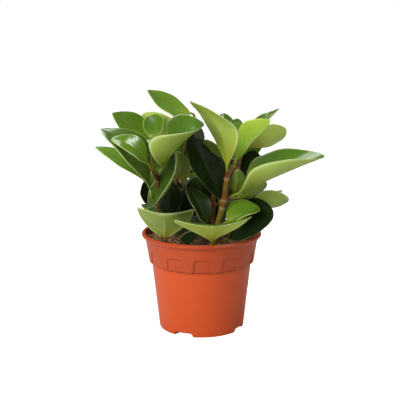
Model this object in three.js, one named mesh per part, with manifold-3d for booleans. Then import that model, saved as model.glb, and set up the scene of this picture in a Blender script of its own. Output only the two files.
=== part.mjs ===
// A bushy, smooth-leaved peperomia in a 12 cm plastic nursery pot, filled with soil.
// Millimetres, +Z up. The origin is the middle of the pot's foot, on the surface that it stands on.
// The front is -Y. Angles round the pot are counted from the front, positive towards +X.
import * as THREE from 'three';
import { mergeVertices } from 'three/addons/utils/BufferGeometryUtils.js';
import Module from 'manifold-3d';

const wasm = await Module();
wasm.setup();

// Pot, outside
const POT_HEIGHT = 98;
const FOOT_RADIUS = 42.4;
const FOOT_ROUND = 1.5;
const BODY_TOP = { radius: 50, height: 68 };
const COLLAR_FOOT = { radius: 52.9, height: 69.2 };
const COLLAR_TOP = { radius: 56.3, height: 92 };
const BEAD = { radius: 57.9, round: 2.1 };
const BEAD_STARTS_AT = -50;

// Pot, inside
const BODY_WALL = 1.4;
const COLLAR_WALL = 2.2;
const FLOOR_TOP = 5.5;

// The ring of shallow windows moulded into the lower half of the collar
const WINDOWS = 12;
const WINDOW_MIDDLE = 0.8;
const WINDOW_WIDTH = 15;
const WINDOW_FLARE = 1.8;
const WINDOW_FOOT = 67.5;
const WINDOW_TOP = 81.5;
const WINDOW_DEPTH = 1.2;
const WINDOW_ROUND = 3;

// Under the pot: a foot ring with notches, a raised floor and a flat pad in the middle
const FOOT_INNER_RADIUS = 30;
const PAD_RADIUS = 14;
const RAISED_FLOOR = 4;
const NOTCHES = 4;
const NOTCH_START = -25.5;
const NOTCH_WIDTH = 17;
const NOTCH_FLARE = 5;
const DRAIN_RADIUS = 3.5;
const DRAIN_CIRCLE = 22.5;

// Soil
const SOIL_TOP = 86.5;
const SOIL_GAP = 0.3;
const SOIL_EDGE_DROP = 1.5;
const SOIL_RINGS = [12, 24, 36, 46];
const HEAPS = { height: 0.9, width: 8 };
const RIPPLES = { height: 0.6, width: 11 };
const STEM_FOOT = 64;
const STEM_HOLE_CLEARANCE = 0.45;

const ROUND_SIDES = 48;
const HOLE_SIDES = 12;
const BEAD_STEPS = 7;
const FOOT_STEPS = 2;
const CORNER_STEPS = 2;

// Leaves and stems
const BLADE_STEP = 10;
const FEWEST_BLADE_STEPS = 4;
const BLADE_STRIPS = 4;
const BLADE_THICKNESS = 1.3;
const MARGIN_THICKNESS = 0.8;
const PETIOLE_STEPS = 2;
const PETIOLE_RADIUS = { stem: 1.6, blade: 1.1 };
const PETIOLE_BEND = 0.45;
const STEM_SIDES = 8;
const STEM_STEP = 12;
const STEM_TAPER = 0.85;
const GOLDEN = 0.618034;

const TERRACOTTA = new THREE.MeshStandardMaterial({ color: 0xcf5b32, roughness: 0.45, metalness: 0 });
const PEAT = new THREE.MeshStandardMaterial({ color: 0x3a2a1e, roughness: 0.95, metalness: 0 });
const LEAF = new THREE.MeshStandardMaterial({ color: 0x4f8230, roughness: 0.35, metalness: 0 });

// The stems, each a list of branches. A branch is a path of points, the first where it leaves the soil or
// its parent, with a radius there. Each row of leaves gives, in this order: the height of its node on the
// branch; x, y and z of the blade's foot; heading, counted from +X towards +Y, rise and roll, in degrees;
// length and width; cup, the half angle that the blade is rolled through; arch, how far its middle stands
// off the straight line; widest, the share of the length at which it is widest; and how slim it is below
// and above that, as powers of a sine and a cosine.
// A crown is the smaller leaves that stand along a branch at the back, in golden-angle steps over a fan.
const STEMS = {
  stem_left: [
    {
      path: [[-38, -12, 90], [-42, -12, 118], [-43, -15, 136], [-43, -15, 153]],
      radius: 2.4,
      leaves: [
        [97, -35, -36, 98, 271, 42, 3, 52, 62, 55, -2, 0.7, 2.6, 0.5],
        [104, -32, -3, 108, 90, 66, 0, 42, 26, 26, 3, 0.55, 1.1, 0.6],
        [112, -46, 8, 122, 185, 66, 30, 28, 29, 15, -4, 0.5, 1, 0.55],
        [118, -53.5, -33, 128, 25, 63, 3, 64, 39, 52, -12, 0.34, 0.9, 0.5],
        [130, -51, -2, 144, 179, 36, 13, 67, 34, 10, 5, 0.6, 1.95, 0.82],
        [134, -49, -24, 140, 175, 53, 19, 80, 54, 20, 13, 0.6, 1.9, 0.77],
        [153, -51, -31, 171.5, 187, 36, 38, 43, 26, 37, 6, 0.47, 0.92, 0.63],
        [153, -40, -20, 163, 325, 43, -23, 70, 75, 86, 4, 0.47, 2, 0.7],
      ],
    },
    {
      path: [[-43, -15, 153], [-47, -8, 166], [-49, -1, 182]],
      radius: 1.7,
      leaves: [
        [178, -52.5, 15, 189, 196, 36, 47, 46, 34, 22, 0, 0.4, 0.7, 0.85],
        [182, -50, -2, 192, 62, 65, 0, 25, 27, 55, -5, 0.6, 0.9, 0.62],
      ],
    },
  ],
  stem_right: [
    {
      path: [[12, -30, 90], [15, -30, 108], [22, -28, 135], [25, -26, 156], [32, -21, 168]],
      radius: 3.3,
      leaves: [
        [92, 10, -47, 96, 272, 29, -2, 65, 73, 22, 7, 0.6, 2.2, 0.5],
        [100, 24, -38, 116, 10, 22, -15, 35, 40, 55, 0, 0.36, 0.8, 0.5],
        [128, 34, -22, 136.5, 15, 21, 45, 34, 27, 33, -3, 0.55, 1.05, 0.5],
        [135, 32, -29.5, 141, 351, 25, -6, 94, 64, 86, 1, 0.34, 1.24, 0.5],
        [136, 33, -17, 141, 285, 74, 5, 25, 16, 26, -2, 0.58, 1.1, 0.6],
        [156, 24.5, -27, 167, 216, 57, 5, 80, 56, 10, 12, 0.53, 1.24, 0.8],
        [168, 32.5, -22, 172, 12, 49, 44, 53, 42, 35, 4, 0.56, 1.1, 0.7],
      ],
    },
  ],
  stem_middle: [
    {
      path: [[10, 2, 90], [12, 4, 120], [12, 8, 148], [8, 14, 162]],
      radius: 2.4,
      leaves: [
        [92, -6, 8, 100, 130, 58, 0, 38, 34, 22, 3, 0.5, 0.9, 0.6],
        [104, -3, 2, 114, 250, -34, 0, 40, 28, 22, 4, 0.5, 0.9, 0.6],
        [93, 27, -19, 95, 340, 33, -37, 54, 54, 28, 4, 0.58, 1, 0.5],
        [95, 5, -16, 108, 146, 57, 6, 42, 28, 40, 2, 0.48, 0.9, 0.68],
        [98, 13, 10, 104, 80, 68, 0, 50, 30, 28, 3, 0.58, 1.1, 0.6],
        [108, 2, 12, 112, 112, 60, 0, 41, 34, 25, 3, 0.55, 1.2, 0.6],
        [98, 19, 3, 104, 74, 64, 0, 42, 25, 24, 3, 0.52, 1, 0.6],
        [125, 18, -8, 131, 148, 60, 17, 69, 41, 28, 2, 0.6, 1.1, 0.55],
        [142, 23, 24, 145, 226, 60, -8, 52, 26, 28, 0, 0.55, 1.1, 0.6],
      ],
    },
  ],
  stem_back: [
    {
      path: [[30, 20, 90], [34, 20, 120], [36, 16, 150], [40, 16, 176]],
      radius: 2.4,
      leaves: [
        [94, 34, 36, 102, 80, 6, -6, 52, 38, 24, 3, 0.58, 1.2, 0.62],
        [115, 46, 2, 121, 336, 20, 40, 45, 35, 42, -3, 0.6, 1.1, 0.55],
        [132, 37, 2, 137, 45, 60, -10, 46, 34, 16, -5, 0.54, 1.1, 0.6],
        [160, 28, 24, 171, 62, 62, 0, 40, 26, 30, -1, 0.5, 1.1, 0.6],
        [165, 25, 31, 175, 96, 60, 0, 41, 26, 30, -1, 0.5, 1.1, 0.6],
        [170, 49, 15, 181, 354, 28, 45, 40, 34, 25, -2, 0.58, 1.1, 0.58],
        [172, 34, 18, 175, 68, 72, 5, 31, 24, 30, 0, 0.5, 1.1, 0.6],
        [176, 42, 28, 190, 0, 38, -5, 46, 28, 50, -2, 0.42, 1.1, 0.8],
      ],
      crown: { leaves: 5, low: 98, high: 146, heading: 69, fan: 22 },
    },
  ],
  stem_rear: [
    {
      path: [[6, 34, 90], [5, 38, 120], [4, 40, 150], [6, 38, 166]],
      radius: 2.4,
      leaves: [
        [94, 3, 50, 106, 93, 10, 4, 56, 40, 24, 3, 0.58, 1.2, 0.62],
        [92, 3, 27, 99, 78, 50, 0, 50, 36, 24, 3, 0.5, 0.9, 0.6],
      ],
      crown: { leaves: 4, low: 102, high: 138, heading: 90, fan: 42 },
    },
  ],
  stem_far: [
    {
      path: [[-27, 24, 90], [-27, 26, 130], [-20, 22, 165], [-9, 15, 203]],
      radius: 2.4,
      leaves: [
        [94, -30, 38, 101, 114, 8, 6, 54, 44, 24, 3, 0.58, 1.2, 0.62],
        [92, -22, 30, 99, 96, 46, 0, 50, 38, 24, 3, 0.5, 0.9, 0.6],
        [138, -18, 4, 145, 235, 75, -10, 36, 20, 25, 0, 0.5, 1, 0.6],
        [150, -2, 22, 168, 118, 60, -5, 46, 22, 30, 0, 0.55, 1.1, 0.6],
        [165, -37, 31, 176, 212, 67, -15, 43, 53, 25, -2, 0.62, 1, 0.5],
        [203, -10, 12, 215, 198, 28, 27, 51, 42, 10, -4, 0.43, 0.8, 0.8],
      ],
      crown: { leaves: 6, low: 104, high: 152, heading: 120, fan: 30 },
    },
  ],
};

// What all leaves of a crown share
const CROWN = {
  petiole: 16,
  lift: 9,
  rise: { low: 14, high: 48 },
  length: { low: 64, high: 54 },
  slimness: 0.64,
  roll: 10,
  rollStep: 2.4,
  cup: 30,
  arch: 5,
  widest: 0.56,
  slimFoot: 1.2,
  slimPoint: 0.62,
};

const deg = THREE.MathUtils.degToRad;
const mix = THREE.MathUtils.lerp;

// Booleans

function solidOf(geometry) {
  const bare = geometry.clone();
  bare.deleteAttribute('normal');
  bare.deleteAttribute('uv');
  const merged = mergeVertices(bare, 1e-5);
  const mesh = new wasm.Mesh({
    numProp: 3,
    vertProperties: new Float32Array(merged.attributes.position.array),
    triVerts: new Uint32Array(merged.index.array),
  });
  return new wasm.Manifold(mesh);
}

function geometryOf(solid) {
  const mesh = solid.getMesh();
  const geometry = new THREE.BufferGeometry();
  geometry.setAttribute('position', new THREE.BufferAttribute(mesh.vertProperties, 3));
  geometry.setIndex(new THREE.BufferAttribute(mesh.triVerts, 1));
  return geometry;
}

function fuse(solids) {
  return solids.reduce((all, solid) => all.add(solid));
}

// Shapes that are turned about the pot's axis

function turned(outline) {
  return new THREE.LatheGeometry(outline, ROUND_SIDES).rotateX(Math.PI / 2);
}

function point(radius, height) {
  return new THREE.Vector2(radius, height);
}

function arc(radius, height, round, from, to, steps) {
  const points = [];
  for (let i = 0; i <= steps; i += 1) {
    const angle = deg(mix(from, to, i / steps));
    points.push(point(radius + round * Math.cos(angle), height + round * Math.sin(angle)));
  }
  return points;
}

// Radius on the straight line through two rings of the pot, at a height
function radiusBetween(low, high, height) {
  return mix(low.radius, high.radius, (height - low.height) / (high.height - low.height));
}

function bodyRadius(height) {
  return radiusBetween({ radius: FOOT_RADIUS, height: 0 }, BODY_TOP, height);
}

function collarRadius(height) {
  return radiusBetween(COLLAR_FOOT, COLLAR_TOP, height);
}

// A block that stands before the axis, with its face in the X and Z directions
function forwards(face, reach, curveSegments) {
  return new THREE.ExtrudeGeometry(face, { depth: reach, bevelEnabled: false, curveSegments })
    .rotateX(Math.PI / 2);
}

// Moves a tool from the front of the pot to an angle round it
function turnedTo(geometry, angle) {
  return geometry.rotateZ(deg(angle));
}

// Pot

function potShell() {
  const outline = [
    point(0, 0),
    point(PAD_RADIUS, 0),
    point(PAD_RADIUS, RAISED_FLOOR),
    point(FOOT_INNER_RADIUS, RAISED_FLOOR),
    point(FOOT_INNER_RADIUS, 0),
    ...arc(FOOT_RADIUS - FOOT_ROUND, FOOT_ROUND, FOOT_ROUND, -90, 0, FOOT_STEPS),
    point(BODY_TOP.radius, BODY_TOP.height),
    point(COLLAR_FOOT.radius, COLLAR_FOOT.height),
    point(COLLAR_TOP.radius, COLLAR_TOP.height),
    ...arc(BEAD.radius, POT_HEIGHT - BEAD.round, BEAD.round, BEAD_STARTS_AT, 180, BEAD_STEPS),
    point(COLLAR_TOP.radius - COLLAR_WALL, COLLAR_TOP.height),
    point(COLLAR_FOOT.radius - COLLAR_WALL, COLLAR_FOOT.height),
    point(BODY_TOP.radius - BODY_WALL, BODY_TOP.height),
    point(bodyRadius(FLOOR_TOP) - BODY_WALL, FLOOR_TOP),
    point(0, FLOOR_TOP),
  ];
  return solidOf(turned(outline));
}

// A block as wide as a window, with sloping sides and round upper corners, that stands before the axis
function windowBlock() {
  const half = WINDOW_WIDTH / 2;
  const shoulder = WINDOW_TOP - WINDOW_ROUND;
  const face = new THREE.Shape();
  face.moveTo(-half - WINDOW_FLARE, WINDOW_FOOT);
  face.lineTo(half + WINDOW_FLARE, WINDOW_FOOT);
  face.lineTo(half, shoulder);
  face.quadraticCurveTo(half, WINDOW_TOP, half - WINDOW_ROUND, WINDOW_TOP);
  face.lineTo(-half + WINDOW_ROUND, WINDOW_TOP);
  face.quadraticCurveTo(-half, WINDOW_TOP, -half, shoulder);
  face.closePath();
  return forwards(face, BEAD.radius + BEAD.round, CORNER_STEPS);
}

// Everything that lies further out than the bottom of the windows
function windowRing() {
  const floor = (height) => point(collarRadius(height) - WINDOW_DEPTH, height);
  const outside = BEAD.radius + BEAD.round;
  const outline = [
    floor(WINDOW_FOOT),
    point(outside, WINDOW_FOOT),
    point(outside, WINDOW_TOP + WINDOW_ROUND),
    floor(WINDOW_TOP + WINDOW_ROUND),
    floor(WINDOW_FOOT),
  ];
  return solidOf(turned(outline));
}

function windows() {
  const blocks = [];
  for (let i = 0; i < WINDOWS; i += 1) {
    blocks.push(solidOf(turnedTo(windowBlock(), WINDOW_MIDDLE + (360 / WINDOWS) * i)));
  }
  return windowRing().intersect(fuse(blocks));
}

// The way that water takes out through the foot ring, from the raised floor to the outside
function notch() {
  const half = NOTCH_WIDTH / 2;
  const face = new THREE.Shape();
  face.moveTo(-half - NOTCH_FLARE, -RAISED_FLOOR);
  face.lineTo(half + NOTCH_FLARE, -RAISED_FLOOR);
  face.lineTo(half, RAISED_FLOOR);
  face.lineTo(-half, RAISED_FLOOR);
  face.closePath();
  const start = FOOT_INNER_RADIUS - BODY_WALL;
  return forwards(face, FOOT_RADIUS - start + BODY_WALL, 1).translate(0, -start, 0);
}

function drain() {
  const throughFloor = 3 * FLOOR_TOP;
  return new THREE.CylinderGeometry(DRAIN_RADIUS, DRAIN_RADIUS, throughFloor, HOLE_SIDES)
    .rotateX(Math.PI / 2)
    .translate(0, -DRAIN_CIRCLE, 0);
}

function pot() {
  let solid = potShell().subtract(windows());
  for (let i = 0; i < NOTCHES; i += 1) {
    const angle = NOTCH_START + (360 / NOTCHES) * i;
    solid = solid.subtract(solidOf(turnedTo(notch(), angle)));
    solid = solid.subtract(solidOf(turnedTo(drain(), angle)));
  }
  return geometryOf(solid);
}

// Soil

// Low heaps and hollows
function soilHeight(x, y) {
  const heap = HEAPS.height * Math.sin(x / HEAPS.width + 1) * Math.cos(y / HEAPS.width);
  const ripple = RIPPLES.height * Math.sin((x - 2 * y) / RIPPLES.width);
  return SOIL_TOP + heap + ripple;
}

function soil(stemFeet) {
  const edgeHeight = SOIL_TOP - SOIL_EDGE_DROP;
  const wall = (radius, height) => point(radius - SOIL_GAP, height);
  const outline = [
    point(0, FLOOR_TOP + SOIL_GAP),
    wall(bodyRadius(FLOOR_TOP) - BODY_WALL, FLOOR_TOP + SOIL_GAP),
    wall(BODY_TOP.radius - BODY_WALL, BODY_TOP.height),
    wall(COLLAR_FOOT.radius - COLLAR_WALL, COLLAR_FOOT.height),
    wall(collarRadius(edgeHeight) - COLLAR_WALL, edgeHeight),
    ...SOIL_RINGS.toReversed().map((radius) => point(radius, SOIL_TOP)),
    point(0, SOIL_TOP),
  ];
  const plug = turned(outline);
  const places = plug.attributes.position;
  for (let i = 0; i < places.count; i += 1) {
    if (Math.abs(places.getZ(i) - SOIL_TOP) < 0.01) {
      places.setZ(i, soilHeight(places.getX(i), places.getY(i)));
    }
  }
  const holes = stemFeet.map(({ x, y, radius }) => {
    const depth = POT_HEIGHT - STEM_FOOT;
    const hole = new THREE.CylinderGeometry(radius, radius, depth, HOLE_SIDES)
      .rotateX(Math.PI / 2)
      .translate(x, y, STEM_FOOT - SOIL_GAP + depth / 2);
    return solidOf(hole);
  });
  return geometryOf(solidOf(plug).subtract(fuse(holes)));
}

// Stems and leaves

// A closed solid through rings of points. Each ring runs clockwise as seen from the last one. The split of
// a ring's first half into triangles mirrors that of its second, so the two faces of a blade stay apart
function loft(rings) {
  const sides = rings[0].length;
  const positions = [];
  const triangles = [];
  const seen = new Map();
  const vertex = (spot) => {
    const key = spot.toArray().map((value) => value.toFixed(4)).join(' ');
    if (!seen.has(key)) {
      seen.set(key, positions.length / 3);
      positions.push(spot.x, spot.y, spot.z);
    }
    return seen.get(key);
  };
  const add = (a, b, c) => {
    if (a !== b && b !== c && c !== a) {
      triangles.push(a, b, c);
    }
  };
  const numbered = rings.map((ring) => ring.map(vertex));
  for (let i = 1; i < numbered.length; i += 1) {
    const [near, far] = [numbered[i - 1], numbered[i]];
    for (let k = 0; k < sides; k += 1) {
      const next = (k + 1) % sides;
      if (k % (sides / 2) < BLADE_STRIPS / 2) {
        add(near[k], far[k], far[next]);
        add(near[k], far[next], near[next]);
      } else {
        add(near[k], far[k], near[next]);
        add(far[k], far[next], near[next]);
      }
    }
  }
  const [first, last] = [numbered[0], numbered[numbered.length - 1]];
  for (let k = 1; k < sides - 1; k += 1) {
    add(first[0], first[k], first[k + 1]);
    add(last[0], last[k + 1], last[k]);
  }
  const geometry = new THREE.BufferGeometry();
  geometry.setAttribute('position', new THREE.Float32BufferAttribute(positions, 3));
  geometry.setIndex(triangles);
  return geometry;
}

// A round ring of points. It starts to the right of the face's direction and runs over it to the left
function roundRing(centre, across, face, radius, sides) {
  const ring = [];
  for (let k = 0; k < sides; k += 1) {
    const angle = Math.PI * (1 - (2 * k + 1) / sides);
    ring.push(centre.clone()
      .addScaledVector(across, radius * Math.cos(angle))
      .addScaledVector(face, radius * Math.sin(angle)));
  }
  return ring;
}

// Round rings along a curve, from its start to its end. They keep in line with a direction given at the end
function limbRings(curve, steps, startRadius, endRadius, sides, acrossAtEnd) {
  const rings = [];
  let across = acrossAtEnd.clone();
  for (let i = steps; i >= 0; i -= 1) {
    const tangent = curve.getTangentAt(i / steps);
    across = across.clone().addScaledVector(tangent, -across.dot(tangent)).normalize();
    const face = new THREE.Vector3().crossVectors(tangent, across);
    const radius = mix(startRadius, endRadius, i / steps);
    rings.unshift(roundRing(curve.getPointAt(i / steps), across, face, radius, sides));
  }
  return rings;
}

// The branch's centre at a height
function branchPoint(path, height) {
  for (let i = 1; i < path.length; i += 1) {
    const [low, high] = [path[i - 1], path[i]];
    if (height <= high[2] || i === path.length - 1) {
      const share = (height - low[2]) / (high[2] - low[2]);
      return new THREE.Vector3(...low).lerp(new THREE.Vector3(...high), share);
    }
  }
  return new THREE.Vector3(...path[0]);
}

// Half width of a leaf along its length, as a share of its widest
function halfWidth(leaf, u) {
  const { widest, slimFoot, slimPoint } = leaf;
  if (u < widest) {
    return Math.sin((Math.PI / 2) * (u / widest)) ** slimFoot;
  }
  return Math.max(Math.cos((Math.PI / 2) * ((u - widest) / (1 - widest))), 0) ** slimPoint;
}

// A leaf with its own directions: along the blade, across it to the left, and out of its upper face
function leafOf(row) {
  const [height, x, y, z, heading, rise, roll, length, width, cup, arch, widest, slimFoot, slimPoint] = row;
  const along = new THREE.Vector3(
    Math.cos(deg(rise)) * Math.cos(deg(heading)),
    Math.cos(deg(rise)) * Math.sin(deg(heading)),
    Math.sin(deg(rise)),
  );
  const left = new THREE.Vector3(-Math.sin(deg(heading)), Math.cos(deg(heading)), 0);
  const up = new THREE.Vector3().crossVectors(along, left);
  const turn = deg(roll);
  const face = up.clone().multiplyScalar(Math.cos(turn)).addScaledVector(left, Math.sin(turn));
  const across = left.clone().multiplyScalar(Math.cos(turn)).addScaledVector(up, -Math.sin(turn));
  const foot = new THREE.Vector3(x, y, z);
  return {
    height, foot, along, across, face, length, width, cup: deg(cup), arch, widest, slimFoot, slimPoint,
  };
}

// A point of the blade: u runs from foot to tip, v from the right margin, -1, to the left one, 1.
// offset lifts it off the blade's middle surface
function bladePoint(leaf, u, v, offset) {
  const bend = v * leaf.cup * halfWidth(leaf, u);
  const rolled = leaf.width / 2 / leaf.cup;
  const side = (rolled - offset) * Math.sin(bend);
  const lift = rolled * (1 - Math.cos(bend)) + 4 * u * (1 - u) * leaf.arch + offset * Math.cos(bend);
  return leaf.foot.clone()
    .addScaledVector(leaf.along, u * leaf.length)
    .addScaledVector(leaf.across, side)
    .addScaledVector(leaf.face, lift);
}

// The blade's rings past its foot: over the upper face from right to left, and back under the lower one
function bladeRings(leaf) {
  const steps = Math.max(FEWEST_BLADE_STEPS, Math.round(leaf.length / BLADE_STEP));
  const rings = [];
  for (let i = 1; i <= steps; i += 1) {
    const [upper, lower] = [[], []];
    for (let j = 0; j <= BLADE_STRIPS; j += 1) {
      const v = (2 * j) / BLADE_STRIPS - 1;
      const half = mix(BLADE_THICKNESS, MARGIN_THICKNESS, v * v) / 2;
      upper.push(bladePoint(leaf, i / steps, v, half));
      lower.unshift(bladePoint(leaf, i / steps, v, -half));
    }
    rings.push([...upper, ...lower]);
  }
  return rings;
}

// The stalk's rings, from inside the branch to the blade's foot
function petioleRings(leaf, path) {
  const start = branchPoint(path, leaf.height);
  const heading = leaf.along.clone().multiplyScalar(leaf.length)
    .addScaledVector(leaf.face, 4 * leaf.arch)
    .normalize();
  const bend = leaf.foot.clone().addScaledVector(heading, -PETIOLE_BEND * start.distanceTo(leaf.foot));
  const curve = new THREE.QuadraticBezierCurve3(start, bend, leaf.foot);
  const sides = 2 * (BLADE_STRIPS + 1);
  return limbRings(curve, PETIOLE_STEPS, PETIOLE_RADIUS.stem, PETIOLE_RADIUS.blade, sides, leaf.across);
}

// The smaller leaves at the back, in steps of the golden angle from the lowest node to the highest
function crownRows(crown, path) {
  const rows = [];
  for (let i = 0; i < crown.leaves; i += 1) {
    const share = i / (crown.leaves - 1);
    const height = mix(crown.low, crown.high, share);
    const heading = crown.heading + crown.fan * (2 * ((i * GOLDEN) % 1) - 1);
    const node = branchPoint(path, height);
    const length = mix(CROWN.length.low, CROWN.length.high, share);
    rows.push([
      height,
      node.x + CROWN.petiole * Math.cos(deg(heading)),
      node.y + CROWN.petiole * Math.sin(deg(heading)),
      node.z + CROWN.lift,
      heading,
      mix(CROWN.rise.low, CROWN.rise.high, share),
      CROWN.roll * Math.cos(CROWN.rollStep * i),
      length,
      length * CROWN.slimness,
      CROWN.cup,
      CROWN.arch,
      CROWN.widest,
      CROWN.slimFoot,
      CROWN.slimPoint,
    ]);
  }
  return rows;
}

// A branch that starts in the soil gets a straight foot that stands in its hole
function branchCurve(path, rooted) {
  const points = path.map((place) => new THREE.Vector3(...place));
  if (rooted) {
    const [x, y] = path[0];
    points.unshift(new THREE.Vector3(x, y, STEM_FOOT), new THREE.Vector3(x, y, (STEM_FOOT + path[0][2]) / 2));
  }
  return new THREE.CatmullRomCurve3(points, false, 'centripetal');
}

function leafyStem(branches) {
  const solids = [];
  branches.forEach((branch, index) => {
    const rooted = index === 0;
    const curve = branchCurve(branch.path, rooted);
    const steps = Math.round(curve.getLength() / STEM_STEP);
    const side = new THREE.Vector3(1, 0, 0);
    const rings = limbRings(curve, steps, branch.radius, branch.radius * STEM_TAPER, STEM_SIDES, side);
    solids.push(solidOf(loft(rings)));
    const crown = branch.crown ? crownRows(branch.crown, branch.path) : [];
    for (const row of [...branch.leaves, ...crown]) {
      const leaf = leafOf(row);
      solids.push(solidOf(loft([...petioleRings(leaf, branch.path), ...bladeRings(leaf)])));
    }
  });
  return geometryOf(fuse(solids));
}

function named(name, geometry, material) {
  const mesh = new THREE.Mesh(geometry, material);
  mesh.name = name;
  return mesh;
}

const stemFeet = Object.values(STEMS).map(([main]) => ({
  x: main.path[0][0],
  y: main.path[0][1],
  radius: main.radius + STEM_HOLE_CLEARANCE,
}));

const pottedPlant = new THREE.Group();
pottedPlant.add(named('pot', pot(), TERRACOTTA));
pottedPlant.add(named('soil', soil(stemFeet), PEAT));
for (const [name, branches] of Object.entries(STEMS)) {
  pottedPlant.add(named(name, leafyStem(branches), LEAF));
}

export default pottedPlant;
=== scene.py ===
import math
import random

import bmesh
import bpy
import numpy as np
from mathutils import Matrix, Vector, noise


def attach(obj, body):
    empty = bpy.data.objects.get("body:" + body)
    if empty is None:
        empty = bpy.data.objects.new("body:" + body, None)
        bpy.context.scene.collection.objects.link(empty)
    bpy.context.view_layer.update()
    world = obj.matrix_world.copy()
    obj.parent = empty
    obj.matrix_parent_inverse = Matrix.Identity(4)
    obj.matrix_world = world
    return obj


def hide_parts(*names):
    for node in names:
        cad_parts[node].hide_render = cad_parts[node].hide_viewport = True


# A bushy, smooth-leaved peperomia in a 12 cm plastic nursery pot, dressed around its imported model.
# Sizes are in millimetres, as on the model, and become metres where a mesh is made. The front is -Y.
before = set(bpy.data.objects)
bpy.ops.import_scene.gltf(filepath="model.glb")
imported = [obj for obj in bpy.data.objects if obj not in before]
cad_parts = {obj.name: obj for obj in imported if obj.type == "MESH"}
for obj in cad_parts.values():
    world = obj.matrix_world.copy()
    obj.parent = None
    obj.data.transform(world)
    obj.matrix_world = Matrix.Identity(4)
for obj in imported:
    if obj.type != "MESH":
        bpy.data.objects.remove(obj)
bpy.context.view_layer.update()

MM = 0.001
SEED = 11

# Pot, outside and inside
POT_HEIGHT = 98.0
FOOT_RADIUS = 42.4
BODY_TOP = (50.0, 68.0)
COLLAR_FOOT = (52.9, 69.2)
COLLAR_TOP = (56.3, 92.0)
BEAD_RADIUS = 57.9
BEAD_ROUND = 2.1
BODY_WALL = 1.4
COLLAR_WALL = 2.2
FLOOR_TOP = 5.5
CORNER_ROUND = 0.6
FOOT_ROUND = 1.5
# Up to this height the collar's rows of points are close together, for the windows
FINE_ROWS_TOP = 84.0
# Heights, in metres, between which the painted shade on the collar, under the leaves, sets in
COLLAR_SHADE_FROM = (0.066, 0.070)

# The ring of shallow windows in the lower half of the collar
WINDOWS = 12
WINDOW_MIDDLE = 0.8
WINDOW_WIDTH = 15.0
WINDOW_FLARE = 1.8
WINDOW_FOOT = 67.5
WINDOW_TOP = 81.5
WINDOW_DEPTH = 1.2
WINDOW_ROUND = 3.0
WINDOW_EDGE = 0.22
# Width and strength of the painted shade along the windows' edges
CREASE = 0.7
WINDOW_PAINTED_SHADE = 0.35

# Under the pot, with one drain hole inward of each notch in the foot
FOOT_INNER_RADIUS = 30.0
PAD_RADIUS = 14.0
RAISED_FLOOR = 4.0
NOTCHES = 4
NOTCH_START = -25.5
NOTCH_WIDTH = 17.0
NOTCH_FLARE = 2.5
DRAIN_RADIUS = 3.5
DRAIN_CIRCLE = 22.5
DRAIN_SIDES = 28

# Soil
SOIL_TOP = 86.5
SOIL_GAP = 0.3
SOIL_EDGE_DROP = 1.5
SOIL_EDGE = (44, 53)
SOIL_HEAP = 6.0
SOIL_HEAP_RANGE = (-14, -36)
SOIL_HEAP_LEAN = 0.35
SOIL_SIDES = 220
SOIL_RINGS = 84
HEAPS = (0.9, 8.0)
RIPPLES = (0.6, 11.0)
# Height and size of the coarse, middle and fine lumps on the soil's top
GRAIN = ((1.1, 4.5), (0.8, 1.9), (0.35, 0.9))

# Crumbs, which lie within the spread and end inside the limit
CRUMBS = 520
CRUMB_SPREAD = 52.5
CRUMB_LIMIT = 54.0
CRUMB_SIZE = (0.5, 1.9)

# Fibres all over the soil, and more at the left, in a range of distances and directions
FIBRES = 26
FIBRE_SPREAD = 44
LEFT_FIBRES = 22
LEFT_DISTANCE = (34, 50)
LEFT_TURN = (150, 215)
FIBRE_LIMIT = 52
FIBRE_LENGTH = (9, 24)
FIBRE_BOW = (-5, 5)
FIBRE_HUMP = (0.3, 2.2)
FIBRE_RADIUS = (0.18, 0.50)
FIBRE_POINTS = 15
FIBRE_SIDES = 7
FIBRE_SIDE = (0.3, 0.4, 0.8)
# Two longer roots: one that stands out of the mix in front and a low one at the left
ROOT_RADIUS = (0.5, 0.25)
ROOTS = (
    ((-23, -26, 91), (-22.5, -33, 96), (-20.5, -36, 100.5),
     (-17, -36, 103.7), (-14, -36, 105.4), (-9.5, -35, 106.5)),
    ((-37, -10, 93), (-31, -13, 96), (-26, -14, 95), (-20, -13, 91)),
)

# Leaves and stems
STEM_FOOT = 64.0
STEM_TAPER = 0.85
BLADE_THICKNESS = 1.3
MARGIN_THICKNESS = 0.8
PETIOLE_RADIUS = (1.6, 1.1)
PETIOLE_BEND = 0.45
# How much thicker a petiole gets near the stem, how far along it, and over what length
PETIOLE_FLARE = (0.5, 2.5, 2.0)
GOLDEN = 0.618034
BLADE_RINGS = 42
PETIOLE_RINGS = 9
BLADE_STRIPS = 22
STEM_SIDES = 20
# Each node of a stem: how far it is red-brown above and below, its swelling and its scar
RED_ABOVE = 13.0
RED_BELOW = 1.5
NODE_SWELL = 0.10
NODE_HEIGHT = 2.0
SCAR_DROP = 0.6
SCAR_HEIGHT = 0.9
STEM_TOP_ROUND = (0.9, 0.55)
# Veins: how close they are, how they bend towards the tip, how much they shift from leaf to leaf
VEIN_STEP = 46.0
VEIN_BEND = 0.42
VEIN_POWER = 1.25
VEIN_SHIFT = 0.1
VEIN_RELIEF = 0.04
# Midrib: its width, its groove in the upper face and its ridge on the lower one
RIB_WIDTH = 1.1
RIB_GROOVE = 0.28
RIB_RIDGE = 0.55
# Shares of the blade's width: the swelling of its halves, the long and short waves of its margin
PILLOW = 0.024
LONG_WAVE = 0.014
SHORT_WAVE = 0.010

# Stage
FLOOR_SIZE = 6000.0
FLOOR_GLOW = 0.86
ROOM_LIGHT = 0.25
ROOM_GLOSS = 0.12
CAMERA_PLACE = (-1.5, -960.0, 332.0)
CAMERA_DOWN = 11.9
CAMERA_LENS = 88.5
CAMERA_SENSOR = 36.0
CAMERA_REACH = 50.0
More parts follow.
